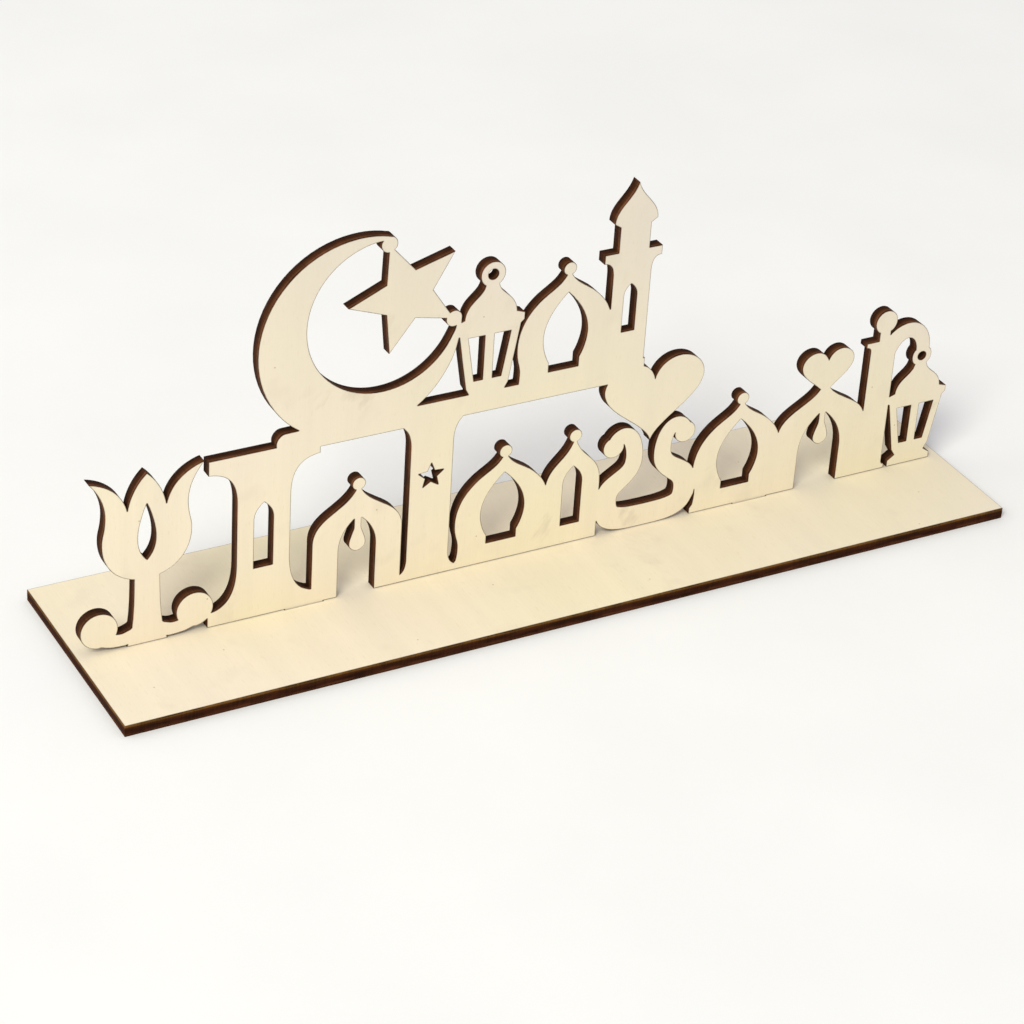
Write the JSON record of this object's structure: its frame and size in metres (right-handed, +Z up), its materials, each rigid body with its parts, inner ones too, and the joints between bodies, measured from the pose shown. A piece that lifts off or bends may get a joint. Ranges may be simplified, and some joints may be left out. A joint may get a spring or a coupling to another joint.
{
  "type": "free-standing fretwork sign",
  "caption": "Free-standing laser-cut plywood sign: an upright fretwork panel of crescent, lanterns, domes, tulip and hearts, plugged by tabs into a flat rectangular base.",
  "frame": {"origin": "centre of the base's underside, on the surface that the sign stands on", "axes": "+Z up, +X along the base towards the lantern's end, +Y away from the viewer of the panel's front"},
  "size_m": [0.265, 0.067, 0.1097],
  "materials": {
    "face_veneer": "bare sanded basswood veneer with scorched cut edges",
    "core_veneer": "laser-scorched core ply"
  },
  "bodies": {
    "base": {"base_top_veneer": "face_veneer", "base_core_veneer": "core_veneer", "base_bottom_veneer": "face_veneer"},
    "panel": {"panel_front_veneer": "face_veneer", "panel_core_veneer": "core_veneer", "panel_back_veneer": "face_veneer"}
  },
  "joints": [
    {"name": "panel_lift", "type": "slide", "parent": "base", "child": "panel", "axis": [0, 0, 1], "range_m": [0, 0.012]}
  ]
}
